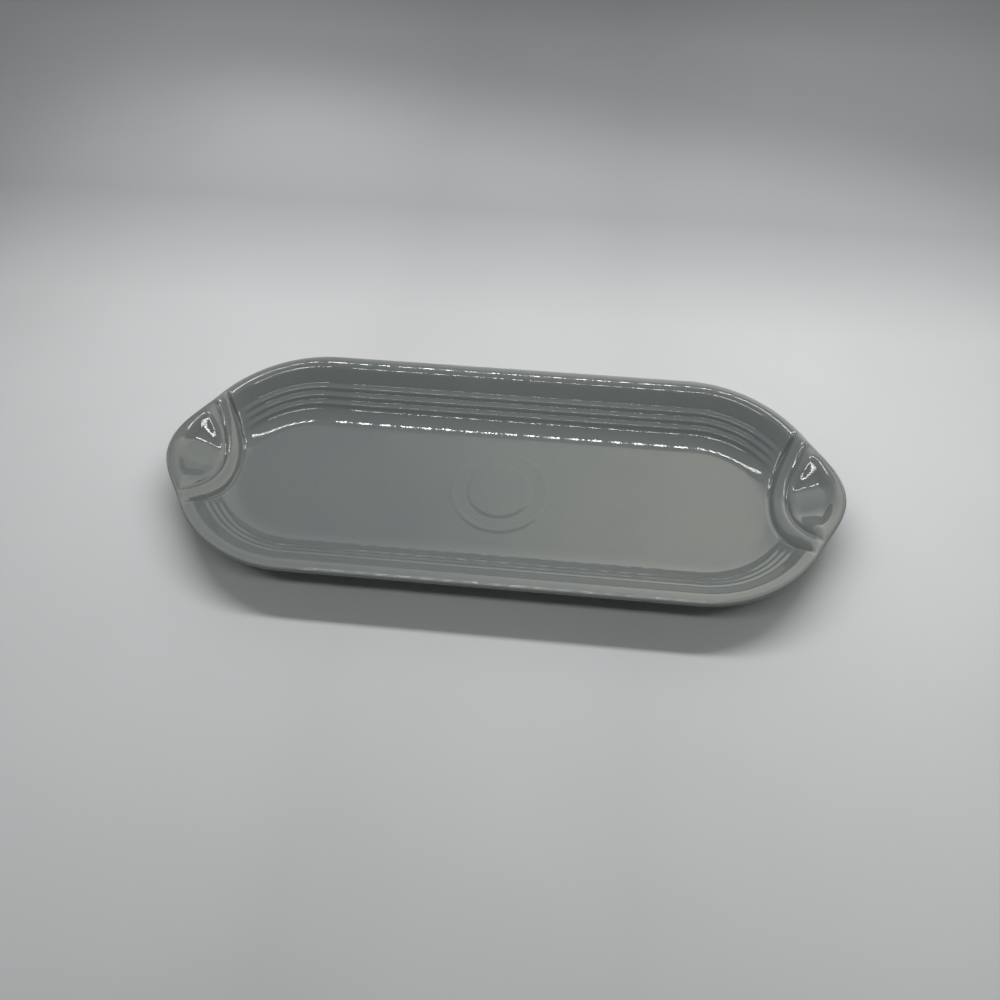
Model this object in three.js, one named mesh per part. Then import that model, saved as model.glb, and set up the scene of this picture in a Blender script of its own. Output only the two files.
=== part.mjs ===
import * as THREE from 'three';
import { mergeVertices } from 'three/addons/utils/BufferGeometryUtils.js';

// Plan of the rim, in millimetres
const width = 96.4;
const straight = 135.4;
const lobeReach = 4.75;
const lobeHalfAngle = 30;

// Heights above the table
const height = 21.5;
const floorTop = 6.5;
const underside = 2.2;
const glazeLine = 0.9;

// Rounded lip: outside radius, radius of the roll on the inside, rounding of the handles into the crest
const lipRadius = 1.2;
const rollRadius = 6.1;
const crestRounding = 1.2;

// Inside wall: insets from the rim's outer edge, heights above the floor
const ridgeStart = 9.2;
const ridgeStartRise = 9.3;
const ridgePitch = 2.45;
const ridgeCount = 3;
const ridgeRelief = 0.5;
const ridgeLean = 0.66;
const ridgeEndRise = 3.2;
const floorEdge = 25.6;
const coveSharpness = 2.05;
const endTightening = 0.25;

// Handles: two creases on arcs about a centre outside the tray, a band between them and a sloping pad
const handleLength = 22.35;
const creaseRadius = 42.2;
const bandWidth = 5.2;
const creaseDepth = 0.9;
const creaseHalfWidth = 0.8;
const bandRise = 2.3;
const bandSlope = 0.38;
const bandBulge = 0.35;
const bandFlank = 3.1;
const padSlope = 0.45;
const padBorder = 0.1;
const padBorderHalfWidth = 1.3;
const flankStart = 0.22;
const flankEnd = 0.86;
const flankPower = 1.5;
const tipSharpness = 20;
const endRise = 1.3;
const endRiseLength = 4.5;

// Low ring and low round boss in the middle of the floor
const ringRadius = 17.4;
const ringHalfWidth = 0.9;
const ringRelief = 0.1;
const bossRadius = 12.3;
const bossEdge = 1.6;
const bossRelief = 0.2;

// Outside wall and foot: insets from the rim's outer edge
const wallTop = { inset: 2.5, z: 17.2 };
const wallMiddle = { inset: 9.2, z: 10.7 };
const footTop = { inset: 17.2, z: 3.6 };
const footOuter = 17.7;
const footWidth = 3.4;
const footChamfer = 0.5;

// Glaze: thickness on the walls and the depth it fills on surfaces that face up
const glazeThickness = 0.4;
const glazeDepth = 0.5;

// Values that follow from the ones above
const halfWidth = width / 2;
const endCentre = straight / 2;
const lipCentreZ = height - lipRadius;
const rimRise = height - floorTop;
const rollSpan = ridgeStart - lipRadius;
const rollLift = rollRadius - rimRise + ridgeStartRise;
const rollAngle = Math.atan2(rollSpan, rollLift) - Math.acos(rollRadius / Math.hypot(rollSpan, rollLift));
const ridgeEnd = ridgeStart + ridgePitch * ridgeCount;
const creaseReach = endCentre + halfWidth + lobeReach - handleLength;
const handleCentre = creaseReach + creaseRadius;
const innerCrease = creaseRadius - bandWidth;
const handleEdge = creaseRadius + 2 * creaseHalfWidth;
const tipReach = endCentre + halfWidth - lipRadius + lobeReach;
const tipRadius = handleCentre - tipReach;
const lobeAngle = THREE.MathUtils.degToRad(lobeHalfAngle);

// Mesh steps along the end arcs and the straight sides
const arcSteps = 8;
const straightSteps = 2;

// Rows of the floor where it runs up to the handles, as shares of the way from its edge to the ring
const swellShares = [0.06, 0.15];

// How far the handle lobe stands out from the end arc, by angle from the long axis
function lobe(angle) {
  const turn = Math.min(Math.abs(angle) / lobeAngle, 1);
  return lobeReach * (1 + Math.cos(Math.PI * turn)) / 2;
}

// Centre of the end arc of the contour at an inset: inner contours run closer to the ends
function contourCentre(inset) {
  return endCentre + endTightening * (inset - lipRadius);
}

// Inset of the contour through a plan point
function insetAt(x, y) {
  const reach = Math.abs(x) - contourCentre(0);
  const lean = halfWidth - endTightening * reach;
  const square = 1 - endTightening ** 2;
  const gap = halfWidth ** 2 - reach ** 2 - y ** 2;
  const onArc = (lean - Math.sqrt(Math.max(lean ** 2 - square * gap, 0))) / square;
  const onSide = halfWidth - Math.abs(y);
  return Math.abs(x) > contourCentre(onSide) ? onArc : onSide;
}

// Height of the plain inside wall above the floor: roll from the crest, straight wall, ridged slope, cove
function wallRise(inset) {
  const along = Math.max(inset - lipRadius, 0);
  if (along < rollRadius * Math.sin(rollAngle)) {
    return rimRise - rollRadius + Math.sqrt(rollRadius ** 2 - along ** 2);
  }
  if (inset < ridgeStart) {
    return ridgeStartRise + (ridgeStart - inset) * Math.tan(rollAngle);
  }
  if (inset < ridgeEnd) {
    const share = (inset - ridgeStart) / (ridgeEnd - ridgeStart);
    return THREE.MathUtils.lerp(ridgeStartRise, ridgeEndRise, share);
  }
  const left = Math.max(floorEdge - inset, 0) / (floorEdge - ridgeEnd);
  return ridgeEndRise * left ** coveSharpness;
}

// Stepped ridges: a broad tread on the rim's side and a steeper drop towards the floor
function ridges(inset) {
  if (inset < ridgeStart || inset > ridgeEnd) {
    return 0;
  }
  const turn = (inset - ridgeStart) / ridgePitch % 1;
  return ridgeRelief * Math.min(turn / ridgeLean, (1 - turn) / (1 - ridgeLean));
}

// Angle on the end arc at which the rim's crest is a given distance from the handle's centre
function rimAngle(radius) {
  let low = 0;
  let high = Math.PI / 2;
  for (let step = 0; step < 50; step += 1) {
    const middle = (low + high) / 2;
    const reach = halfWidth - lipRadius + lobe(middle);
    const away = Math.hypot(handleCentre - endCentre - reach * Math.cos(middle), reach * Math.sin(middle));
    if (away < radius) {
      low = middle;
    } else {
      high = middle;
    }
  }
  return (low + high) / 2;
}

// Rim point on the arc of a given radius about the handle's centre
function rimOnArc(radius) {
  const angle = rimAngle(radius);
  const reach = halfWidth - lipRadius + lobe(angle);
  return { x: endCentre + reach * Math.cos(angle), y: reach * Math.sin(angle), angle };
}

// Sloping surface of the handle above the floor: plain in the middle, curved flanks up to the rim
function handleRise(radius, share) {
  const run = creaseRadius - radius;
  const full = creaseRadius - tipRadius;
  const top = rimRise + crestRounding;
  const plain = (along) => {
    const onPad = Math.max(along - bandWidth, 0);
    return bandRise + bandSlope * (along - onPad) + padSlope * onPad;
  };
  const axis = plain(run) + (top - plain(full)) * Math.max(run / full, 0) ** tipSharpness;
  const pad = THREE.MathUtils.smoothstep(run, 0, bandWidth);
  const padFlank = THREE.MathUtils.smoothstep(share, flankStart, flankEnd) ** flankPower;
  const flank = THREE.MathUtils.lerp(share ** bandFlank, padFlank, pad);
  const ceiling = Math.max(top - crestRounding * pad, axis);
  const rise = axis + (ceiling - axis) * flank;
  const near = Math.max(crestRounding - Math.abs(rise - rimRise), 0);
  return Math.min(rise, rimRise) - near ** 2 / (4 * crestRounding) + crestRounding * pad * flank / 4;
}

// Creases, the rounded band between them and the pad's raised border
function handleRelief(radius, share) {
  const crease = (line) => creaseDepth * Math.exp(-(((radius - line) / creaseHalfWidth) ** 2));
  const across = (radius - innerCrease) / bandWidth;
  const band = across > 0 && across < 1 ? 4 * bandBulge * across * (1 - across) : 0;
  const borderLine = innerCrease - 2 * padBorderHalfWidth;
  const border = padBorder * Math.exp(-(((radius - borderLine) / padBorderHalfWidth) ** 2));
  return (band + border - crease(creaseRadius) - crease(innerCrease)) * (1 - share ** 14);
}

// Height of the glazed inside surface over a plan point
function topHeight(x, y) {
  const inset = insetAt(x, y);
  const radius = Math.hypot(handleCentre - Math.abs(x), y);
  const wall = wallRise(inset);
  const swell = endRise * Math.exp(-Math.max(radius - creaseRadius, 0) / endRiseLength);
  const open = wall + swell * (1 - wall / rimRise) + ridges(inset);
  if (radius > handleEdge + 1e-6) {
    return floorTop + open;
  }
  const share = Math.min(Math.abs(y) / Math.max(rimOnArc(radius).y, 1e-6), 1);
  const handle = handleRise(radius, share);
  const blend = 1 - THREE.MathUtils.smoothstep(radius, creaseRadius - creaseHalfWidth, handleEdge);
  const rise = THREE.MathUtils.lerp(open, handle, blend) + handleRelief(radius, share);
  return floorTop + Math.min(rise, rimRise);
}

// Angle from the long axis at which a contour runs into the edge of the handle
function contourEnd(inset) {
  if (inset <= lipRadius) {
    return rimAngle(handleEdge);
  }
  const centre = contourCentre(inset);
  const radius = halfWidth - inset;
  const gap = handleCentre - centre;
  const along = gap / 2 + (radius ** 2 - handleEdge ** 2) / (2 * gap);
  return Math.acos(THREE.MathUtils.clamp(along / radius, -1, 1));
}

// Inset of the contour that just touches both handles
const lastContour = (contourCentre(0) + halfWidth - handleCentre + handleEdge) / (1 - endTightening);

// Contour along the front side, from the left handle to the right one
function frontContour(inset, drop) {
  const centre = contourCentre(Math.max(inset, lipRadius));
  const start = contourEnd(inset);
  const right = [];
  for (let step = 0; step <= arcSteps; step += 1) {
    const angle = THREE.MathUtils.lerp(Math.PI / 2, start, step / arcSteps);
    const reach = halfWidth - inset + (inset <= lipRadius ? lobe(angle) : 0);
    right.push([centre + reach * Math.cos(angle), -reach * Math.sin(angle)]);
  }
  const left = right.map(([x, y]) => [-x, y]).reverse();
  const side = [];
  for (let step = 1; step < straightSteps; step += 1) {
    side.push([THREE.MathUtils.lerp(-centre, centre, step / straightSteps), inset - halfWidth]);
  }
  const plan = [...left, ...side, ...right];
  return plan.map(([x, y]) => {
    const z = inset <= lipRadius ? height : topHeight(x, y);
    return new THREE.Vector3(x, y, z - drop);
  });
}

// One arc of the right handle from the front rim to the back rim
function handleArc(radius, shares, drop) {
  const rim = rimOnArc(radius);
  const end = Math.atan2(rim.y, handleCentre - rim.x);
  return shares.map((share) => {
    const x = handleCentre - radius * Math.cos(end * share);
    const y = radius * Math.sin(end * share);
    return new THREE.Vector3(x, y, topHeight(x, y) - drop);
  });
}

// Radii of the handle's arcs, close together at the creases
function handleRadii() {
  const fine = [2, 1, 0, -1, -2].map((step) => step * creaseHalfWidth);
  const creases = [creaseRadius, innerCrease].map((line) => fine.map((step) => line + step));
  const padStart = innerCrease - 2 * creaseHalfWidth;
  const pad = [0.3, 0.6, 0.82, 0.95].map((share) => THREE.MathUtils.lerp(padStart, tipRadius, share));
  return [...creases[0], (creaseRadius + innerCrease) / 2, ...creases[1], ...pad];
}

// Triangles between neighbouring rows of points
function grid(rows) {
  const triangles = [];
  for (let row = 0; row + 1 < rows.length; row += 1) {
    for (let col = 0; col + 1 < rows[row].length; col += 1) {
      const near = rows[row];
      const far = rows[row + 1];
      triangles.push([near[col], near[col + 1], far[col + 1]]);
      triangles.push([near[col], far[col + 1], far[col]]);
    }
  }
  return triangles;
}

// Triangles from a closed row to one point
function fan(row, point) {
  return row.slice(1).map((end, index) => [row[index], end, point]);
}

function flip(triangles) {
  return triangles.map(([a, b, c]) => [a, c, b]);
}

function mirror(triangles, axis) {
  const across = new THREE.Vector3(1, 1, 1).setComponent(axis, -1);
  return flip(triangles.map((corners) => corners.map((corner) => corner.clone().multiply(across))));
}

// Insets of the wall's contours, with a number of steps for each ridge
function wallInsets(upperSteps, ridgeSteps, coveSteps) {
  const insets = [];
  for (let step = 0; step < upperSteps; step += 1) {
    insets.push(THREE.MathUtils.lerp(lipRadius, ridgeStart, (step / upperSteps) ** 1.3));
  }
  for (let step = 0; step < ridgeCount * ridgeSteps; step += 1) {
    insets.push(ridgeStart + ridgePitch * step / ridgeSteps);
  }
  for (let step = 0; step <= coveSteps; step += 1) {
    insets.push(THREE.MathUtils.lerp(ridgeEnd, lastContour, step / coveSteps));
  }
  return insets;
}

// Floor inside the last contour; ring and boss are left out of the surface under the glaze
function floorFaces(edge, drop) {
  const circle = (radius, rise) => edge.map((point, index) => {
    const angle = Math.PI + 2 * Math.PI * index / (edge.length - 1);
    return new THREE.Vector3(radius * Math.cos(angle), radius * Math.sin(angle), floorTop + rise);
  });
  const middle = circle(ringRadius, 0);
  const swellRow = (share) => edge.map((point, index) => {
    const { x, y } = point.clone().lerp(middle[index], share);
    return new THREE.Vector3(x, y, topHeight(x, y) - drop);
  });
  const outer = [edge, ...swellShares.map(swellRow)];
  if (drop > 0) {
    return [...grid(outer), ...fan(outer.at(-1), new THREE.Vector3(0, 0, floorTop - drop))];
  }
  const ringRow = (step) => circle(ringRadius - step * ringHalfWidth, ringRelief * (1 - Math.abs(step)));
  const bossRow = (step) => circle(bossRadius - step * bossEdge, bossRelief * Math.sin(Math.PI * step / 2));
  const rows = [...outer, ...[-1, 0, 1].map(ringRow), ...[0, 0.4, 1].map(bossRow)];
  return [...grid(rows), ...fan(rows.at(-1), new THREE.Vector3(0, 0, floorTop + bossRelief))];
}

// Inside surface from rim to rim
function insideFaces(insets, drop) {
  const front = insets.map((inset) => frontContour(inset, drop));
  const back = (row) => row.map((point) => new THREE.Vector3(point.x, -point.y, point.z));
  const outermost = rimOnArc(handleEdge);
  const full = Math.atan2(outermost.y, handleCentre - outermost.x);
  const ends = front.map((row) => Math.atan2(row.at(-1).y, handleCentre - row.at(-1).x) / full);
  const shares = [...ends, ...ends.slice(0, -1).reverse().map((share) => -share)];
  const arcs = handleRadii().map((radius) => handleArc(radius, shares, drop));
  const tip = new THREE.Vector3(tipReach, 0, height - drop);
  const handle = flip([...grid(arcs), ...fan(arcs.at(-1), tip)]);
  const side = grid(front);
  const last = front.at(-1);
  const edge = [...last, ...back(last).reverse().slice(1)];
  return [...side, ...mirror(side, 1), ...handle, ...mirror(handle, 0), ...floorFaces(edge, drop)];
}

// Stations around the rim: a base point, a direction outwards and the lobe's share there
function rimStations() {
  const start = rimAngle(handleEdge);
  const quarter = [];
  for (let step = 0; step <= arcSteps; step += 1) {
    quarter.push(THREE.MathUtils.lerp(Math.PI / 2, start, step / arcSteps));
  }
  quarter.push(...handleRadii().slice(1).map(rimAngle));
  const angles = [...quarter.map((angle) => -angle), 0, ...quarter.slice().reverse()];
  const stop = (x, ux, uy, out) => ({ x, ux, uy, out });
  const right = angles.map((angle) => stop(endCentre, Math.cos(angle), Math.sin(angle), lobe(angle)));
  const left = right.map(({ x, ux, uy, out }) => stop(-x, -ux, -uy, out));
  const side = (sign) => {
    const stops = [];
    for (let step = 1; step < straightSteps; step += 1) {
      stops.push(stop(sign * THREE.MathUtils.lerp(endCentre, -endCentre, step / straightSteps), 0, sign, 0));
    }
    return stops;
  };
  return [...right, ...side(1), ...left, ...side(-1)];
}

const stations = rimStations();

// Closed ring at an inset and a height; the lobe dies out towards the foot
function ring({ inset, z }) {
  const share = 1 - THREE.MathUtils.smoothstep(inset, lipRadius, footOuter);
  const points = stations.map(({ x, ux, uy, out }) => {
    const reach = halfWidth - inset + out * share;
    return new THREE.Vector3(x + ux * reach, uy * reach, z);
  });
  return [...points, points[0]];
}

// Section of the outside, from the lip down to the glaze line
function outsideSection(depth) {
  const lip = [120, 150, 180, 225].map((degrees) => {
    const angle = THREE.MathUtils.degToRad(degrees);
    const radius = lipRadius - depth;
    return { inset: lipRadius + radius * Math.cos(angle), z: lipCentreZ + radius * Math.sin(angle) };
  });
  const deeper = (point) => ({ inset: point.inset + depth * 0.7, z: point.z + depth * 0.7 });
  const foot = { inset: footOuter + depth, z: glazeLine };
  return [...lip, deeper(wallTop), deeper(wallMiddle), deeper(footTop), foot];
}

// Faces from the rim's crest to the glaze line
function outsideFaces(depth, drop) {
  const start = { inset: lipRadius, z: height - drop };
  return flip(grid([start, ...outsideSection(depth)].map(ring)));
}

// Closed mesh from triangles, with doubled points joined and empty triangles left out
function solid(name, triangles, look) {
  const whole = triangles.filter(([a, b, c]) => {
    const area = new THREE.Triangle(a, b, c).getArea();
    return area > 1e-7;
  });
  const corners = whole.flat().flatMap((corner) => [corner.x, corner.y, corner.z]);
  const soup = new THREE.BufferGeometry();
  soup.setAttribute('position', new THREE.Float32BufferAttribute(corners, 3));
  const geometry = mergeVertices(soup, 1e-3);
  geometry.computeVertexNormals();
  const mesh = new THREE.Mesh(geometry, new THREE.MeshStandardMaterial(look));
  mesh.name = name;
  return mesh;
}

// Foot and underside
const footInner = footOuter + footWidth;
const recess = { inset: footInner + footChamfer + underside - glazeLine, z: underside };
const recessFoot = { inset: footInner + footChamfer, z: glazeLine };
const footFace = [
  { inset: footOuter + glazeThickness, z: glazeLine },
  { inset: footOuter + glazeThickness + footChamfer, z: 0 },
  { inset: footInner, z: 0 },
  recessFoot,
];

const clayLook = { color: 0xd9cdb8, roughness: 0.85, metalness: 0 };
const glazeLook = { color: 0x6f7b76, roughness: 0.12, metalness: 0 };

const coarse = wallInsets(2, 2, 3);
const fine = wallInsets(4, 3, 3);
const underGlaze = [...insideFaces(coarse, glazeDepth), ...outsideFaces(glazeThickness, glazeDepth)];
const glazeTop = [...insideFaces(fine, 0), ...outsideFaces(0, 0)];

// Recess inside the foot ring, closed by a flat
function recessFaces(section) {
  const rings = section.map(ring);
  return [...grid(rings), ...fan(rings.at(-1), new THREE.Vector3(0, 0, section.at(-1).z))];
}

// Fired clay with a bare foot ring
function clayBody() {
  const foot = flip(grid(footFace.map(ring)));
  return solid('clay_body', [...underGlaze, ...foot, ...flip(recessFaces([recessFoot, recess]))], clayLook);
}

// Glaze over the inside, the rim and the outside down to the glaze line
function glazeCoat() {
  const outer = { inset: footOuter, z: glazeLine };
  const inner = { inset: footOuter + glazeThickness, z: glazeLine };
  const edge = flip(grid([outer, inner].map(ring)));
  return solid('glaze_coat', [...glazeTop, ...flip(underGlaze), ...edge], glazeLook);
}

// Glaze inside the foot ring
function undersideGlaze() {
  const low = { inset: recessFoot.inset + glazeThickness, z: glazeLine };
  const deep = { inset: recess.inset + glazeThickness, z: underside - glazeThickness };
  const shown = recessFaces([recessFoot, low, deep]);
  const backed = recessFaces([recessFoot, recess]);
  return solid('underside_glaze', [...flip(shown), ...backed], glazeLook);
}

const tray = new THREE.Group();
tray.name = 'relish_tray';
tray.add(clayBody(), glazeCoat(), undersideGlaze());

export default tray;
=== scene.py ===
import math

import bmesh
import bpy
import numpy as np
from mathutils import Matrix, Vector


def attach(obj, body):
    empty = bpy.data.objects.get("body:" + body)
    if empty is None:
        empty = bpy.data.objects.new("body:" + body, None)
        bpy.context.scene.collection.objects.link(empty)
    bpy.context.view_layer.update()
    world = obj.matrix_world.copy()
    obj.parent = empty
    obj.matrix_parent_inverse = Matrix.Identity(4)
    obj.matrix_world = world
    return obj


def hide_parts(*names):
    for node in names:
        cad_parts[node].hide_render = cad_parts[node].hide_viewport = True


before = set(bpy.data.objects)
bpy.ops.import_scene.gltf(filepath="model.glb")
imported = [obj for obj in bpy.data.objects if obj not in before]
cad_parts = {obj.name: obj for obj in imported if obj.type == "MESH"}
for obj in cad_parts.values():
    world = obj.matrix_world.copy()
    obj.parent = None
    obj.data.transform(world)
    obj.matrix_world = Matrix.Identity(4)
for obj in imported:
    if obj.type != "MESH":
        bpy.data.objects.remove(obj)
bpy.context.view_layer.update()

MM = 0.001

# Plan of the rim, in millimetres
WIDTH = 96.4
STRAIGHT = 135.4
LOBE_REACH = 4.75
LOBE_ANGLE = math.radians(30)

# Heights above the table
HEIGHT = 21.5
FLOOR_TOP = 6.5
UNDERSIDE = 2.2
GLAZE_LINE = 0.9

# Rounded lip: outside radius and start, radius of the roll inside, rounding of the handles into the crest
LIP_RADIUS = 1.2
LIP_START_ANGLE = math.radians(225)
ROLL_RADIUS = 6.1
CREST_ROUNDING = 1.2

# Inside wall: insets from the rim's outer edge, heights above the floor
RIDGE_START = 9.2
RIDGE_START_RISE = 9.3
RIDGE_PITCH = 2.45
RIDGE_COUNT = 3
RIDGE_RELIEF = 0.5
RIDGE_LEAN = 0.66
RIDGE_SOFTNESS = 0.3
RIDGE_FADE = 5
RIDGE_END_RISE = 3.2
FLOOR_EDGE = 25.6
COVE_SHARPNESS = 2.05
END_TIGHTENING = 0.25

# Handles
HANDLE_LENGTH = 22.35
CREASE_RADIUS = 42.2
BAND_WIDTH = 5.2
CREASE_DEPTH = 0.9
CREASE_HALF_WIDTH = 0.8
BAND_RISE = 2.1
BAND_SLOPE = 0.55
BAND_BULGE = 0.35
BAND_FLANK = 2.8
CREASE_FLANK = 1.8
PAD_SLOPE = 0.6
PAD_BORDER = 0.1
PAD_BORDER_HALF_WIDTH = 1.3
PAD_BLEND = 4
PAD_TAPER = 0.4
FLANK_START = 0.2
FLANK_END = 0.96
EDGE_CURVE = 0.2
EDGE_ROUNDING = 1
END_RISE = 1.3
END_RISE_LENGTH = 4.5
RELIEF_FADE_POWER = 14

# Ring, boss and fine turned lines in the middle of the floor
RING_RADIUS = 17.4
RING_HALF_WIDTH = 0.9
RING_RELIEF = 0.08
BOSS_RADIUS = 12.3
BOSS_EDGE = 1.6
BOSS_RELIEF = 0.14
FINE_LINES = (13.4, 14.8, 16.1)
FINE_LINE_HALF_WIDTH = 0.35
FINE_LINE_RELIEF = 0.025

# Outside wall and foot: inset and height of each point
WALL_TOP = (2.5, 17.2)
WALL_MIDDLE = (9.2, 10.7)
FOOT_TOP = (17.2, 3.6)
FOOT_OUTER = 17.7
FOOT_WIDTH = 3.4
FOOT_CHAMFER = 0.5

# Glaze: thickness on the walls, its share to each side on the slanted wall, and its depth on what faces up
GLAZE_THICKNESS = 0.4
SLANT_SHARE = 0.7
GLAZE_DEPTH = 0.5

# Values that follow from the ones above
HALF_WIDTH = WIDTH / 2
END_CENTRE = STRAIGHT / 2
LIP_CENTRE_Z = HEIGHT - LIP_RADIUS
RIM_RISE = HEIGHT - FLOOR_TOP
ROLL_SPAN = RIDGE_START - LIP_RADIUS
ROLL_LIFT = ROLL_RADIUS - RIM_RISE + RIDGE_START_RISE
ROLL_ANGLE = math.atan2(ROLL_SPAN, ROLL_LIFT) - math.acos(ROLL_RADIUS / math.hypot(ROLL_SPAN, ROLL_LIFT))
RIDGE_END = RIDGE_START + RIDGE_PITCH * RIDGE_COUNT
CREASE_REACH = END_CENTRE + HALF_WIDTH + LOBE_REACH - HANDLE_LENGTH
HANDLE_CENTRE = CREASE_REACH + CREASE_RADIUS
INNER_CREASE = CREASE_RADIUS - BAND_WIDTH
HANDLE_EDGE = CREASE_RADIUS + 2 * CREASE_HALF_WIDTH
TIP_REACH = END_CENTRE + HALF_WIDTH - LIP_RADIUS + LOBE_REACH
TIP_RADIUS = HANDLE_CENTRE - TIP_REACH
MEDALLION_RADIUS = RING_RADIUS + 2 * RING_HALF_WIDTH
FOOT_INNER = FOOT_OUTER + FOOT_WIDTH
RECESS_FOOT = FOOT_INNER + FOOT_CHAMFER
RECESS_EDGE = RECESS_FOOT + UNDERSIDE - GLAZE_LINE

# Mesh steps of the visible glaze
SIDE_STEPS = 22
ARC_STEPS = 40
HANDLE_STEPS = 64
SHARE_STEPS = 44
UPPER_STEPS = 20
STEPS_PER_RIDGE = 10
COVE_STEPS = 12
FLOOR_STEPS = 12
MEDALLION_STEPS = 48
LIP_STEPS = 12
OUTSIDE_STEPS = 5
UNDERSIDE_STEPS = 4

# Seams closer than this are joined, in metres; rounds of smoothing of the glaze's tone
WELD_REACH = 0.002 * MM
SLIVER_SIZE = 0.0005 * MM
TONE_ROUNDS = 4

# Camera as found from the photograph: metres, focal length in millimetres on a 36 mm sensor
CAMERA_PLACE = (0.01641, -0.16589, 0.24245)
CAMERA_FORWARD = (-0.05531, 0.56439, -0.82365)
CAMERA_UP = (-0.07808, 0.81995, 0.56709)
CAMERA_LENS = 28.095

# Light strips overhead and the dots on them that the glaze mirrors: metres, watts
STRIP_X = 0.004
STRIP_Z = 0.3
STRIP_LENGTH = 0.308
STRIP_WIDTH = 0.025
BACK_STRIP_Y = 0.057
BACK_STRIP_POWER = 0.69
BACK_DOT_GLOW = 36
FRONT_STRIP_Y = -0.14
FRONT_STRIP_POWER = 0.26
FRONT_DOT_GLOW = 30
STRIP_DOTS = 19
DOT_SIDES = 12
DOT_HALF_SIZE = (0.0038, 0.014)

# Wall behind the tray that the glaze mirrors, its own light, and the floor: metres, watts
WALL_Y = 0.15
WALL_BOTTOM = 0.02
WALL_HALF_WIDTH = 0.3
BOUNCE_PLACE = (0.03, WALL_Y, STRIP_Z / 2)
BOUNCE_SIZE = (0.5, 0.25)
BOUNCE_POWER = 0.19
FLOOR_HALF_WIDTH = 1.5


def smoothstep(value, low, high):
    part = np.clip((value - low) / (high - low), 0, 1)
    return part * part * (3 - 2 * part)


def mound(distance, half_width):
    return np.exp(-((distance / half_width) ** 2))


# How far the handle lobe stands out from the end arc, by angle from the long axis
def lobe(angle):
    turn = np.minimum(np.abs(angle) / LOBE_ANGLE, 1)
    return LOBE_REACH * (1 + np.cos(np.pi * turn)) / 2


# Centre of the end arc of the contour at an inset
def contour_centre(inset):
    return END_CENTRE + END_TIGHTENING * (inset - LIP_RADIUS)


# Inset of the contour through a plan point
def inset_at(x, y):
    reach = np.abs(x) - contour_centre(0)
    lean = HALF_WIDTH - END_TIGHTENING * reach
    square = 1 - END_TIGHTENING**2
    gap = HALF_WIDTH**2 - reach**2 - y**2
    on_arc = (lean - np.sqrt(np.maximum(lean**2 - square * gap, 0))) / square
    on_side = HALF_WIDTH - np.abs(y)
    return np.where(np.abs(x) > contour_centre(on_side), on_arc, on_side)


# Height of the plain inside wall above the floor: roll from the crest, straight wall, ridged slope, cove
def wall_rise(inset):
    along = np.clip(inset - LIP_RADIUS, 0, ROLL_RADIUS)
    roll = RIM_RISE - ROLL_RADIUS + np.sqrt(ROLL_RADIUS**2 - along**2)
    plain = RIDGE_START_RISE + (RIDGE_START - inset) * math.tan(ROLL_ANGLE)
    upper = np.where(along < ROLL_RADIUS * math.sin(ROLL_ANGLE), roll, plain)
    down = (inset - RIDGE_START) / (RIDGE_END - RIDGE_START)
    slope = RIDGE_START_RISE + (RIDGE_END_RISE - RIDGE_START_RISE) * down
    out = np.maximum(FLOOR_EDGE - inset, 0) / (FLOOR_EDGE - RIDGE_END)
    cove = RIDGE_END_RISE * out**COVE_SHARPNESS
    return np.where(inset < RIDGE_START, upper, np.where(inset < RIDGE_END, slope, cove))


# Lower of two heights, rounded where they meet
def soft_min(first, second, rounding):
    near = np.maximum(rounding - np.abs(first - second), 0)
    return np.minimum(first, second) - near**2 / (4 * rounding)


# Stepped ridges, rounded by the glaze: a broad tread on the rim's side and a steeper drop below it
def ridges(inset):
    turn = (inset - RIDGE_START) / RIDGE_PITCH % 1
    step = soft_min(turn / RIDGE_LEAN, (1 - turn) / (1 - RIDGE_LEAN), RIDGE_SOFTNESS)
    filled = -soft_min(-step, np.zeros_like(step), RIDGE_SOFTNESS)
    inside = (inset > RIDGE_START) & (inset < RIDGE_END)
    return np.where(inside, RIDGE_RELIEF * (filled - RIDGE_SOFTNESS / 4), 0)


# Crest of the rim round a quarter end, with its distance from the handle's centre
RIM_ANGLES = np.linspace(0, math.pi / 2, 4001)
RIM_RADII = HALF_WIDTH - LIP_RADIUS + lobe(RIM_ANGLES)
RIM_X = END_CENTRE + RIM_RADII * np.cos(RIM_ANGLES)
RIM_Y = RIM_RADII * np.sin(RIM_ANGLES)
RIM_AWAY = np.hypot(HANDLE_CENTRE - RIM_X, RIM_Y)


# Angle of the rim's crest, from the long axis, at a distance from the handle's centre
def rim_angle(radius):
    return np.interp(radius, RIM_AWAY, RIM_ANGLES)


# Half chord of the rim's crest on the arc of a radius about the handle's centre
def rim_y(radius):
    return np.interp(radius, RIM_AWAY, RIM_Y)


# Height of the handle's slope above the floor on the long axis: band, then pad
def handle_axis(run):
    on_pad = np.maximum(run - BAND_WIDTH, 0)
    return BAND_RISE + BAND_SLOPE * (run - on_pad) + PAD_SLOPE * on_pad


# Share of the way up to the rim: power curves on the band, a trough with steeper sides on the pad
def handle_flank(radius, y, on_pad):
    half = rim_y(np.maximum(radius, INNER_CREASE)) - PAD_TAPER * np.maximum(INNER_CREASE - radius, 0)
    share = np.clip(y / half, 0, 1)
    across = np.clip((CREASE_RADIUS - radius) / BAND_WIDTH, 0, 1)
    band = share ** (BAND_FLANK + (CREASE_FLANK - BAND_FLANK) * across)
    trough = smoothstep(share, FLANK_START, FLANK_END)
    return band + (trough - band) * on_pad


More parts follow.
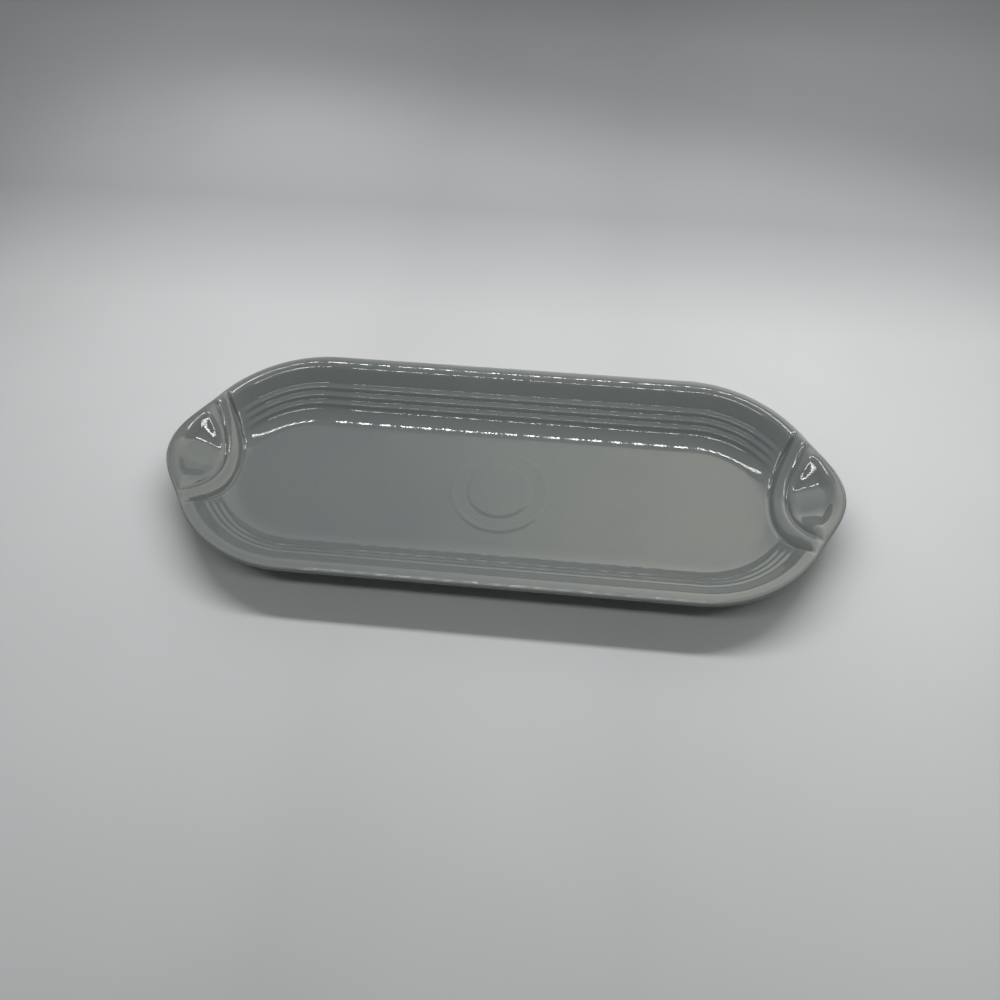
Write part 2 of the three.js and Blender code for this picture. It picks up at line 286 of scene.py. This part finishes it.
# Handle's surface above the floor, with a rounded edge where the pad meets the rim
def handle_rise(radius, x, y):
    run = CREASE_RADIUS - radius
    on_pad = smoothstep(run, BAND_WIDTH, BAND_WIDTH + PAD_BLEND)
    top = RIM_RISE + CREST_ROUNDING
    axis = handle_axis(run)
    slope = axis + (top - axis) * handle_flank(radius, y, on_pad)
    angle = np.arctan2(y, x - END_CENTRE)
    inward = HALF_WIDTH - LIP_RADIUS + lobe(angle) - np.hypot(x - END_CENTRE, y)
    edge = RIM_RISE + CREST_ROUNDING / 4 - EDGE_CURVE * np.maximum(inward, 0) ** 2
    rounded = -soft_min(-slope, -edge, EDGE_ROUNDING)
    return soft_min(slope + (rounded - slope) * on_pad, RIM_RISE, CREST_ROUNDING)


# Creases, rounded band and raised border of the handle
def handle_relief(radius, share):
    part = np.clip((radius - INNER_CREASE) / BAND_WIDTH, 0, 1)
    band = 4 * BAND_BULGE * part * (1 - part)
    border = PAD_BORDER * mound(radius - INNER_CREASE + 2 * PAD_BORDER_HALF_WIDTH, PAD_BORDER_HALF_WIDTH)
    outer = mound(radius - CREASE_RADIUS, CREASE_HALF_WIDTH)
    inner = mound(radius - INNER_CREASE, CREASE_HALF_WIDTH)
    return (band + border - CREASE_DEPTH * (outer + inner)) * (1 - share**RELIEF_FADE_POWER)


# Turned ring, low boss and fine lines about the middle of the floor
def medallion(radius):
    edge = np.clip((BOSS_RADIUS - radius) / BOSS_EDGE, 0, 1)
    rise = BOSS_RELIEF * np.sin(math.pi / 2 * edge)
    rise = rise + RING_RELIEF * mound(radius - RING_RADIUS, RING_HALF_WIDTH)
    for line in FINE_LINES:
        rise = rise + FINE_LINE_RELIEF * mound(radius - line, FINE_LINE_HALF_WIDTH)
    return rise


# Height of the glazed top surface at plan points
def top_height(x, y):
    x = np.abs(x)
    y = np.abs(y)
    inset = inset_at(x, y)
    radius = np.hypot(HANDLE_CENTRE - x, y)
    wall = wall_rise(inset)
    swell = END_RISE * np.exp(-np.maximum(radius - CREASE_RADIUS, 0) / END_RISE_LENGTH)
    fade = smoothstep(radius, HANDLE_EDGE, HANDLE_EDGE + RIDGE_FADE)
    rise = wall + swell * (1 - wall / RIM_RISE) + ridges(inset) * fade
    share = np.clip(y / np.maximum(rim_y(radius), 1e-6), 0, 1)
    blend = 1 - smoothstep(radius, CREASE_RADIUS - CREASE_HALF_WIDTH, HANDLE_EDGE)
    rise = rise + (handle_rise(radius, x, y) - rise) * blend
    near = smoothstep(HANDLE_EDGE + 1 - radius, 0, 1)
    rise = rise + handle_relief(radius, share) * near
    return FLOOR_TOP + np.minimum(rise + medallion(np.hypot(x, y)), RIM_RISE)


# Plan points of a contour from the middle of the long side to an end angle on the arc
def contour(inset, end_angle):
    centre = contour_centre(inset)
    radius = HALF_WIDTH - inset
    side = np.linspace(0, centre, SIDE_STEPS + 1)[:-1]
    angles = np.linspace(math.pi / 2, end_angle, ARC_STEPS + 1)
    x = np.concatenate([side, centre + radius * np.cos(angles)])
    y = np.concatenate([np.full(SIDE_STEPS, radius), radius * np.sin(angles)])
    return x, y


# Angle on a contour's arc at which it meets the front of the handle
def front_angle(inset):
    radius = HALF_WIDTH - inset
    apart = HANDLE_CENTRE - contour_centre(inset)
    cosine = (radius**2 + apart**2 - HANDLE_EDGE**2) / (2 * radius * apart)
    return math.acos(min(cosine, 1))


# Inset of the contour that touches the handle's front on the long axis
def last_contour():
    room = contour_centre(0) + HALF_WIDTH - HANDLE_CENTRE + HANDLE_EDGE
    return room / (1 - END_TIGHTENING)


# Points of the top surface over plan points
def lift(x, y):
    return np.stack([x, y, top_height(x, y)], axis=-1)


# Wall contours that run into the front of the handle
def wall_patch():
    last = last_contour()
    upper = np.linspace(LIP_RADIUS, RIDGE_START, UPPER_STEPS + 1)
    ridged = np.linspace(RIDGE_START, RIDGE_END, RIDGE_COUNT * STEPS_PER_RIDGE + 1)[1:]
    cove = np.linspace(RIDGE_END, last, COVE_STEPS + 1)[1:]
    rows = [lift(*contour(inset, front_angle(inset))) for inset in np.concatenate([upper, ridged, cove])]
    return np.array(rows)


# Flat floor from its edge to the medallion, then circles to the centre
def floor_patch():
    edge_x, edge_y = contour(last_contour(), 0)
    angles = np.linspace(math.pi / 2, 0, len(edge_x))
    circle_x = np.cos(angles)
    circle_y = np.sin(angles)
    rows = []
    for part in np.linspace(0, 1, FLOOR_STEPS + 1) ** 2:
        x = edge_x + (MEDALLION_RADIUS * circle_x - edge_x) * part
        y = edge_y + (MEDALLION_RADIUS * circle_y - edge_y) * part
        rows.append(lift(x, y))
    for radius in np.linspace(MEDALLION_RADIUS, 0, MEDALLION_STEPS + 1)[1:]:
        rows.append(lift(radius * circle_x, radius * circle_y))
    return np.array(rows)


# Radii of the handle's arcs from its front to the tip
def handle_radii():
    return np.linspace(HANDLE_EDGE, TIP_RADIUS, HANDLE_STEPS + 1)


# Arcs of the handle: rows from the rim to the long axis, columns from its front to the tip
def handle_patch():
    radius = handle_radii()
    half = rim_y(radius)
    half[-1] = 0
    rows = []
    for share in np.linspace(1, 0, SHARE_STEPS + 1):
        y = half * share
        x = HANDLE_CENTRE - np.sqrt(radius**2 - y**2)
        rows.append(lift(x, y))
    return np.array(rows)


# Smooth curve through profile points
def through(points, steps):
    points = np.array(points, dtype=float)
    padded = np.vstack([2 * points[0] - points[1], points, 2 * points[-1] - points[-2]])
    out = []
    for index in range(len(points) - 1):
        a, b, c, d = padded[index : index + 4]
        square = 2 * a - 5 * b + 4 * c - d
        cube = 3 * b - a - 3 * c + d
        for t in np.linspace(0, 1, steps, endpoint=False):
            out.append(0.5 * (2 * b + (c - a) * t + square * t**2 + cube * t**3))
    out.append(points[-1])
    return np.array(out)


# Section of the outside wall and the lip, a depth under the glaze surface: inset and height
def outside_section(depth):
    angles = np.linspace(LIP_START_ANGLE, math.pi / 2, LIP_STEPS + 1)
    radius = LIP_RADIUS - depth
    lip = [(LIP_RADIUS + radius * math.cos(a), LIP_CENTRE_Z + radius * math.sin(a)) for a in angles]
    inward = SLANT_SHARE * depth
    wall = [(inset + inward, z + inward) for inset, z in (FOOT_TOP, WALL_MIDDLE, WALL_TOP)]
    curve = through([(FOOT_OUTER + depth, GLAZE_LINE), *wall, lip[0]], OUTSIDE_STEPS)
    return np.vstack([curve, lip[1:]])


# Section of the bare foot ring, from the recess over the standing face to the glaze line
def foot_section():
    outer = FOOT_OUTER + GLAZE_THICKNESS
    soft = [0, 0.15, 0.5, 0.85, 1]
    rise = [(1 - math.sqrt(1 - part**2)) * GLAZE_LINE for part in soft]
    heel = [(FOOT_INNER + part * FOOT_CHAMFER, z) for part, z in zip(soft, rise)]
    toe = [(outer + (1 - part) * FOOT_CHAMFER, z) for part, z in zip(soft, rise)]
    return np.vstack([[(RECESS_EDGE, UNDERSIDE)], heel[::-1], toe])


# Section of the glaze inside the foot ring, from the flat to its edge
def underside_section():
    deep = (RECESS_EDGE + GLAZE_THICKNESS, UNDERSIDE - GLAZE_THICKNESS)
    low = (RECESS_FOOT + GLAZE_THICKNESS, GLAZE_LINE)
    return np.vstack([through([deep, low], UNDERSIDE_STEPS), [(RECESS_FOOT, GLAZE_LINE)]])


# Stations round a quarter of the rim: plan point of the end arc's centre and direction out
def rim_stations():
    x, y = contour(LIP_RADIUS, front_angle(LIP_RADIUS))
    centre_x = np.minimum(x, END_CENTRE)
    angles = np.arctan2(y, x - centre_x)
    more = rim_angle(handle_radii()[1:])
    more[-1] = 0
    angles = np.concatenate([angles, more])
    centre_x = np.concatenate([centre_x, np.full(len(more), END_CENTRE)])
    return centre_x, angles


# Rings round the tray at the points of a section
def ring_patch(section):
    centre_x, angles = rim_stations()
    rows = []
    for inset, z in section:
        fade = 1 - smoothstep(inset, LIP_RADIUS, FOOT_OUTER)
        radius = HALF_WIDTH - inset + lobe(angles) * np.where(centre_x < END_CENTRE, 0, fade)
        x = centre_x + radius * np.cos(angles)
        y = radius * np.sin(angles)
        rows.append(np.stack([x, y, np.full_like(x, z)], axis=-1))
    return np.array(rows)


# Flat inside a ring, as rows from the middle to the ring
def flat_patch(ring):
    middle = ring * (0, 0, 1)
    return np.array([middle + (ring - middle) * part for part in (0, 0.5, 1)])


# Inside surface from the rim to the middle of the floor
def inside_patches():
    return [wall_patch(), handle_patch(), floor_patch()]


# Quads of a patch, facing out where rows run from the outside in and columns towards the tip
def patch_quads(rows, columns):
    index = np.arange(rows * columns).reshape(rows, columns)
    corners = [index[:-1, :-1], index[1:, :-1], index[1:, 1:], index[:-1, 1:]]
    return np.stack(corners, axis=-1).reshape(-1, 4)


# One mesh object from quarter patches mirrored to the other three quarters
def mirrored_piece(name, patches):
    points = []
    quads = []
    count = 0
    for patch in patches:
        rows, columns = patch.shape[:2]
        for sign_x in (1, -1):
            for sign_y in (1, -1):
                points.append(patch.reshape(-1, 3) * (sign_x * MM, sign_y * MM, MM))
                faces = patch_quads(rows, columns) + count
                quads.append(faces if sign_x == sign_y else faces[:, ::-1])
                count += rows * columns
    mesh = bpy.data.meshes.new(name)
    mesh.from_pydata(np.concatenate(points).tolist(), [], np.concatenate(quads).tolist())
    weld(mesh)
    piece = bpy.data.objects.new(name, mesh)
    bpy.context.scene.collection.objects.link(piece)
    return piece


# Joins the patches along their seams and shades the result smooth
def weld(mesh):
    work = bmesh.new()
    work.from_mesh(mesh)
    bmesh.ops.remove_doubles(work, verts=work.verts, dist=WELD_REACH)
    bmesh.ops.dissolve_degenerate(work, edges=work.edges, dist=SLIVER_SIZE)
    for face in work.faces:
        face.smooth = True
    work.to_mesh(mesh)
    work.free()


# Stores how sharply the surface bends at each point: upward edges above 0, weighted by how far they face
# up, creases below; the glaze colour turns this into a painted highlight on upward edges and painted shade
# in creases
def store_relief(piece, rounds):
    work = bmesh.new()
    work.from_mesh(piece.data)
    work.verts.ensure_lookup_table()
    work.normal_update()
    values = np.zeros(len(work.verts))
    for vert in work.verts:
        links = [edge.other_vert(vert).co - vert.co for edge in vert.link_edges]
        bends = [-2 * link.dot(vert.normal) / max(link.length_squared, 1e-12) for link in links]
        bend = MM * sum(bends) / max(len(bends), 1)
        upward = max(vert.normal.z, 0) ** 2
        values[vert.index] = bend * upward if bend > 0 else bend
    values = np.clip(values, -1, 1)
    near = [[edge.other_vert(vert).index for edge in vert.link_edges] for vert in work.verts]
    for _ in range(rounds):
        values = np.array([0.5 * values[i] + 0.5 * values[n].mean() for i, n in enumerate(near)])
    work.free()
    layer = piece.data.attributes.new("relief", "FLOAT", "POINT")
    layer.data.foreach_set("value", values.astype(np.float32))


# Small helpers for material nodes
def new_material(name):
    material = bpy.data.materials.new(name)
    material.use_nodes = True
    nodes = material.node_tree.nodes
    return material, nodes, material.node_tree.links, nodes["Principled BSDF"]


def add_noise(nodes, links, place, scale, detail=3.0):
    noise = nodes.new("ShaderNodeTexNoise")
    noise.inputs["Scale"].default_value = scale
    noise.inputs["Detail"].default_value = detail
    links.new(place, noise.inputs["Vector"])
    return noise.outputs["Fac"]


def add_range(nodes, links, value, low, high, to_low, to_high):
    span = nodes.new("ShaderNodeMapRange")
    span.inputs["From Min"].default_value = low
    span.inputs["From Max"].default_value = high
    span.inputs["To Min"].default_value = to_low
    span.inputs["To Max"].default_value = to_high
    links.new(value, span.inputs["Value"])
    return span.outputs["Result"]


def add_ramp(nodes, links, value, stops):
    ramp = nodes.new("ShaderNodeValToRGB")
    while len(ramp.color_ramp.elements) < len(stops):
        ramp.color_ramp.elements.new(0.5)
    for element, (position, colour) in zip(ramp.color_ramp.elements, stops):
        element.position = position
        element.color = (*colour, 1)
    links.new(value, ramp.inputs["Fac"])
    return ramp.outputs["Color"]


def add_mix(nodes, links, kind, factor, first, second):
    mix = nodes.new("ShaderNodeMix")
    mix.data_type = "RGBA"
    mix.blend_type = kind
    mix.inputs["Factor"].default_value = factor
    links.new(first, mix.inputs["A"])
    links.new(second, mix.inputs["B"])
    return mix.outputs["Result"]


def add_bump(nodes, links, height, distance, strength, normal=None):
    bump = nodes.new("ShaderNodeBump")
    bump.inputs["Distance"].default_value = distance
    bump.inputs["Strength"].default_value = strength
    links.new(height, bump.inputs["Height"])
    if normal:
        links.new(normal, bump.inputs["Normal"])
    return bump.outputs["Normal"]


# Grey-green glossy glaze, softly mottled: paler on upward edges and darker in creases, partly thinner and
# pooled glaze and partly painted highlight and painted shade
def glaze_material():
    material, nodes, links, shader = new_material("glaze")
    place = nodes.new("ShaderNodeTexCoord").outputs["Object"]
    relief = nodes.new("ShaderNodeAttribute")
    relief.attribute_name = "relief"
    shade = add_range(nodes, links, relief.outputs["Fac"], -0.5, 0.5, 0, 1)
    # Tone from the bend: painted shade in creases and a painted highlight on upward edges, on top of the
    # glaze's own thinning and pooling
    depth = add_ramp(
        nodes,
        links,
        shade,
        [
            (0.0, (0.1, 0.114, 0.111)),
            (0.45, (0.143, 0.159, 0.156)),
            (0.55, (0.148, 0.164, 0.16)),
            (1.0, (0.27, 0.28, 0.265)),
        ],
    )
    mottle = add_ramp(
        nodes,
        links,
        add_noise(nodes, links, place, 45, 5),
        [(0.3, (0.93, 0.95, 0.955)), (0.7, (1.0, 1.0, 0.985))],
    )
    grain = add_ramp(
        nodes,
        links,
        add_noise(nodes, links, place, 1100, 2),
        [(0.3, (0.95, 0.95, 0.95)), (0.6, (1.0, 1.0, 1.0))],
    )
    colour = add_mix(nodes, links, "MULTIPLY", 1, depth, mottle)
    colour = add_mix(nodes, links, "MULTIPLY", 1, colour, grain)
    links.new(colour, shader.inputs["Base Color"])
    gloss = add_noise(nodes, links, place, 160, 3)
    links.new(add_range(nodes, links, gloss, 0.3, 0.7, 0.02, 0.05), shader.inputs["Roughness"])
    flow = add_bump(nodes, links, add_noise(nodes, links, place, 60, 2), 0.0006, 0.06)
    peel = add_bump(nodes, links, add_noise(nodes, links, place, 650, 2), 0.0001, 0.2, flow)
    links.new(peel, shader.inputs["Normal"])
    shader.inputs["IOR"].default_value = 1.5
    return material


# Bare fired clay: warm, matt and grainy
def clay_material():
    material, nodes, links, shader = new_material("clay")
    place = nodes.new("ShaderNodeTexCoord").outputs["Object"]
    tone = add_ramp(
        nodes,
        links,
        add_noise(nodes, links, place, 60, 6),
        [(0.3, (0.62, 0.55, 0.44)), (0.7, (0.78, 0.72, 0.62))],
    )
    specks = add_ramp(
        nodes,
        links,
        add_noise(nodes, links, place, 900, 2),
        [(0.28, (0.6, 0.55, 0.48)), (0.42, (1.0, 1.0, 1.0))],
    )
    links.new(add_mix(nodes, links, "MULTIPLY", 1, tone, specks), shader.inputs["Base Color"])
    rough = add_noise(nodes, links, place, 300, 3)
    links.new(add_range(nodes, links, rough, 0.3, 0.7, 0.75, 0.95), shader.inputs["Roughness"])
    grain = add_bump(nodes, links, add_noise(nodes, links, place, 1400, 4), 0.0001, 0.4)
    links.new(grain, shader.inputs["Normal"])
    return material


# Pale matt table top with a faint tooth, with painted shade in a band behind the tray, painted light
# further back and painted light towards the sides
def floor_material():
    material, nodes, links, shader = new_material("floor")
    place = nodes.new("ShaderNodeTexCoord").outputs["Object"]
    tone = add_ramp(
        nodes,
        links,
        add_noise(nodes, links, place, 9, 4),
        [(0.3, (0.555, 0.565, 0.57)), (0.7, (0.585, 0.595, 0.6))],
    )
    split = nodes.new("ShaderNodeSeparateXYZ")
    links.new(place, split.inputs["Vector"])
    # Painted shade in a band behind the tray, lighter again further back
    back = add_range(nodes, links, split.outputs["Y"], 0.1, 0.36, 0, 1)
    painted_back_shading = add_ramp(
        nodes,
        links,
        back,
        [(0.0, (1, 1, 1)), (0.3, (0.78, 0.78, 0.79)), (1.0, (1.35, 1.37, 1.38))],
    )
    # Painted light towards the sides
    aside = nodes.new("ShaderNodeMath")
    aside.operation = "ABSOLUTE"
    links.new(split.outputs["X"], aside.inputs[0])
    flank = add_range(nodes, links, aside.outputs["Value"], 0.05, 0.25, 0, 1)
    painted_side_light = add_ramp(nodes, links, flank, [(0.0, (1, 1, 1)), (1.0, (1.45, 1.45, 1.45))])
    shade = add_mix(nodes, links, "MULTIPLY", 1, tone, painted_back_shading)
    links.new(add_mix(nodes, links, "MULTIPLY", 1, shade, painted_side_light), shader.inputs["Base Color"])
    grain = add_bump(nodes, links, add_noise(nodes, links, place, 1200, 2), 0.0001, 0.1)
    links.new(grain, shader.inputs["Normal"])
    shader.inputs["Roughness"].default_value = 0.8
    shader.inputs["Specular IOR Level"].default_value = 0.2
    return material


# Plain glow
def emitter_material(name, strength):
    material = bpy.data.materials.new(name)
    material.use_nodes = True
    nodes = material.node_tree.nodes
    nodes.clear()
    glow = nodes.new("ShaderNodeEmission")
    glow.inputs["Strength"].default_value = strength
    output = nodes.new("ShaderNodeOutputMaterial")
    material.node_tree.links.new(glow.outputs["Emission"], output.inputs["Surface"])
    return material, nodes, material.node_tree.links, glow


# Puts a piece in the place of its solid, with its material
def dress(piece, node, material):
    piece.data.materials.append(material)
    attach(piece, "root")
    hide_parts(node)


# Glaze coat: the whole glazed surface above the foot, turned in at its lower edge
def add_glaze(material):
    edge = [(FOOT_OUTER + GLAZE_THICKNESS, GLAZE_LINE)]
    section = np.vstack([edge, outside_section(0)])
    piece = mirrored_piece("glaze_surface", [ring_patch(section), *inside_patches()])
    store_relief(piece, TONE_ROUNDS)
    dress(piece, "glaze_coat", material)


# Clay body: bare foot ring, and the form under the glaze at half as many points
def add_clay(material):
    section = np.vstack([foot_section(), outside_section(GLAZE_THICKNESS)[1:-1]])
    section = np.vstack([section, [(LIP_RADIUS, HEIGHT - GLAZE_DEPTH)]])
    under = [patch[::2, ::2] - (0, 0, GLAZE_DEPTH) for patch in inside_patches()]
    rings = ring_patch(section)[:, ::2]
    piece = mirrored_piece("clay_form", [flat_patch(rings[0]), rings, *under])
    dress(piece, "clay_body", material)


# Glaze inside the foot ring
def add_underside(material):
    rings = ring_patch(underside_section())
    piece = mirrored_piece("underside_surface", [flat_patch(rings[0]), rings])
    dress(piece, "underside_glaze", material)


# Wide floor
def add_floor():
    half = FLOOR_HALF_WIDTH
    mesh = bpy.data.meshes.new("floor")
    corners = [(-half, -half, 0), (half, -half, 0), (half, half, 0), (-half, half, 0)]
    mesh.from_pydata(corners, [], [(0, 1, 2, 3)])
    floor = bpy.data.objects.new("floor", mesh)
    bpy.context.scene.collection.objects.link(floor)
    floor.data.materials.append(floor_material())


# Row of small oval emitters that only show as reflections in the glaze
def add_emitter_row(name, y, material):
    points = []
    faces = []
    for index in range(STRIP_DOTS):
        centre = STRIP_X + (index - (STRIP_DOTS - 1) / 2) * STRIP_LENGTH / STRIP_DOTS
        start = len(points)
        for side in range(DOT_SIDES):
            angle = 2 * math.pi * side / DOT_SIDES
            across = DOT_HALF_SIZE[0] * math.cos(angle)
            along = DOT_HALF_SIZE[1] * math.sin(angle)
            points.append((centre + across, y + along, STRIP_Z))
        faces.append(tuple(range(start + DOT_SIDES - 1, start - 1, -1)))
    mesh = bpy.data.meshes.new(name)
    mesh.from_pydata(points, [], faces)
    mesh.materials.append(material)
    add_mirrored_only(name, mesh)


# Wall behind the tray, seen only as a reflection: dim at the left and bright at the right
def add_wall():
    mesh = bpy.data.meshes.new("wall")
    side = WALL_HALF_WIDTH
    low_corners = [(-side, WALL_Y, WALL_BOTTOM), (side, WALL_Y, WALL_BOTTOM)]
    high_corners = [(side, WALL_Y, STRIP_Z), (-side, WALL_Y, STRIP_Z)]
    mesh.from_pydata(low_corners + high_corners, [], [(0, 1, 2, 3)])
    material, nodes, links, glow = emitter_material("wall", 1)
    split = nodes.new("ShaderNodeSeparateXYZ")
    links.new(nodes.new("ShaderNodeTexCoord").outputs["Object"], split.inputs["Vector"])
    across = add_range(nodes, links, split.outputs["X"], -0.1, 0.15, 0, 1)
    tone = add_ramp(nodes, links, across, [(0.0, (0.65, 0.7, 0.7)), (1.0, (2.45, 2.3, 2.0))])
    up = add_range(nodes, links, split.outputs["Z"], 0.1, 0.2, 0, 1)
    low = add_ramp(nodes, links, up, [(0.0, (0.8, 0.82, 0.8)), (1.0, (0.3, 0.3, 0.3))])
    links.new(add_mix(nodes, links, "LIGHTEN", 1, tone, low), glow.inputs["Color"])
    mesh.materials.append(material)
    add_mirrored_only("wall", mesh)


# Object of the surroundings that only the glaze's reflections show
def add_mirrored_only(name, mesh):
    thing = bpy.data.objects.new(name, mesh)
    bpy.context.scene.collection.objects.link(thing)
    thing.visible_camera = False
    thing.visible_diffuse = False
    thing.visible_shadow = False


# White area light, not mirrored in the glaze
def add_area_light(name, place, target, size, power):
    data = bpy.data.lights.new(name, "AREA")
    data.shape = "RECTANGLE"
    data.size, data.size_y = size
    data.energy = power
    light = bpy.data.objects.new(name, data)
    bpy.context.scene.collection.objects.link(light)
    light.location = place
    light.rotation_euler = (Vector(target) - Vector(place)).to_track_quat("-Z", "Y").to_euler()
    light.visible_glossy = False


# Surroundings: pale behind the tray, dim as light, and reflected bright at the right and dark in front
def set_world():
    world = bpy.data.worlds.new("studio")
    bpy.context.scene.world = world
    world.use_nodes = True
    nodes = world.node_tree.nodes
    links = world.node_tree.links
    background = nodes["Background"]
    place = nodes.new("ShaderNodeTexCoord").outputs["Generated"]
    split = nodes.new("ShaderNodeSeparateXYZ")
    links.new(place, split.inputs["Vector"])
    depth = add_range(nodes, links, split.outputs["Y"], -1, 1, 0, 1)
    front = add_ramp(nodes, links, depth, [(0.25, (0.05, 0.05, 0.05)), (0.6, (0.2, 0.2, 0.2))])
    across = add_range(nodes, links, split.outputs["X"], -0.6, 0.6, 0, 1)
    side = add_ramp(
        nodes,
        links,
        across,
        [(0.0, (2.6, 2.6, 2.6)), (0.3, (1.0, 1.0, 1.0)), (0.8, (3.0, 2.8, 2.5))],
    )
    mirrored = add_mix(nodes, links, "MULTIPLY", 1, front, side)
    kind = nodes.new("ShaderNodeLightPath")
    pick = nodes.new("ShaderNodeMix")
    pick.data_type = "RGBA"
    pick.inputs["A"].default_value = (0.08, 0.08, 0.08, 1)
    links.new(kind.outputs["Is Glossy Ray"], pick.inputs["Factor"])
    links.new(mirrored, pick.inputs["B"])
    seen = nodes.new("ShaderNodeMix")
    seen.data_type = "RGBA"
    seen.inputs["B"].default_value = (0.5, 0.51, 0.52, 1)
    links.new(kind.outputs["Is Camera Ray"], seen.inputs["Factor"])
    links.new(pick.outputs["Result"], seen.inputs["A"])
    links.new(seen.outputs["Result"], background.inputs["Color"])
    background.inputs["Strength"].default_value = 1


# Two light strips overhead with the dots that the glaze mirrors, and the light that the wall sends back
def add_lights():
    strips = (
        ("back", BACK_STRIP_Y, BACK_STRIP_POWER, BACK_DOT_GLOW),
        ("front", FRONT_STRIP_Y, FRONT_STRIP_POWER, FRONT_DOT_GLOW),
    )
    for name, y, power, glow in strips:
        place = (STRIP_X, y, STRIP_Z)
        add_area_light(name + "_strip", place, (STRIP_X, y, 0), (STRIP_LENGTH, STRIP_WIDTH), power)
        add_emitter_row(name + "_dots", y, emitter_material(name + "_dots", glow)[0])
    add_area_light("wall_bounce", BOUNCE_PLACE, (0, 0, 0), BOUNCE_SIZE, BOUNCE_POWER)


# Camera at the photograph's place
def add_camera():
    data = bpy.data.cameras.new("photo_camera")
    data.lens = CAMERA_LENS
    data.sensor_width = 36
    data.clip_start = 0.01
    camera = bpy.data.objects.new("photo_camera", data)
    bpy.context.scene.collection.objects.link(camera)
    forward = Vector(CAMERA_FORWARD).normalized()
    right = forward.cross(Vector(CAMERA_UP)).normalized()
    up = right.cross(forward)
    turn = Matrix((right, up, -forward)).transposed().to_4x4()
    camera.matrix_world = Matrix.Translation(CAMERA_PLACE) @ turn
    bpy.context.scene.camera = camera


bpy.context.scene.view_settings.view_transform = "Standard"
add_camera()
set_world()
add_lights()
add_wall()
add_floor()

glaze = glaze_material()
add_glaze(glaze)
add_clay(clay_material())
add_underside(glaze)
